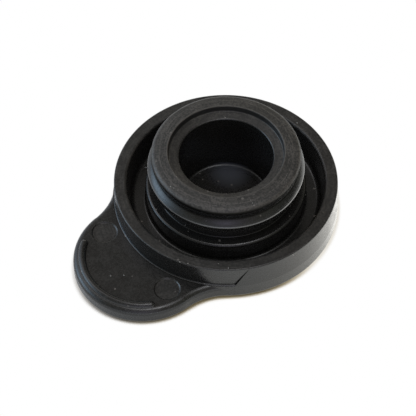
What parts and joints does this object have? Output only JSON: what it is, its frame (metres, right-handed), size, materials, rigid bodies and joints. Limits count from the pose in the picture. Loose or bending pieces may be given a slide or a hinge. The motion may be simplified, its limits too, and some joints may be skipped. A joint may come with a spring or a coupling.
{
  "type": "reservoir cap",
  "caption": "Push-in round rubber cap for a coolant reservoir: hollow plug with a sealing bead, down-turned skirt and a rounded pull tab with a grip rib.",
  "frame": {"origin": "centre of the outer face on the plug's axis, where the cap lies on a flat surface", "axes": "+Z along the plug, from the outer face to the plug's lip; -Y towards the pull tab; X across the tab"},
  "size_m": [0.061, 0.0788, 0.0232],
  "materials": {
    "rubber": "smooth moulded black elastomer, satin to glossy on the vertical walls"
  },
  "bodies": {
    "root": {"cap": "rubber"}
  },
  "joints": []
}
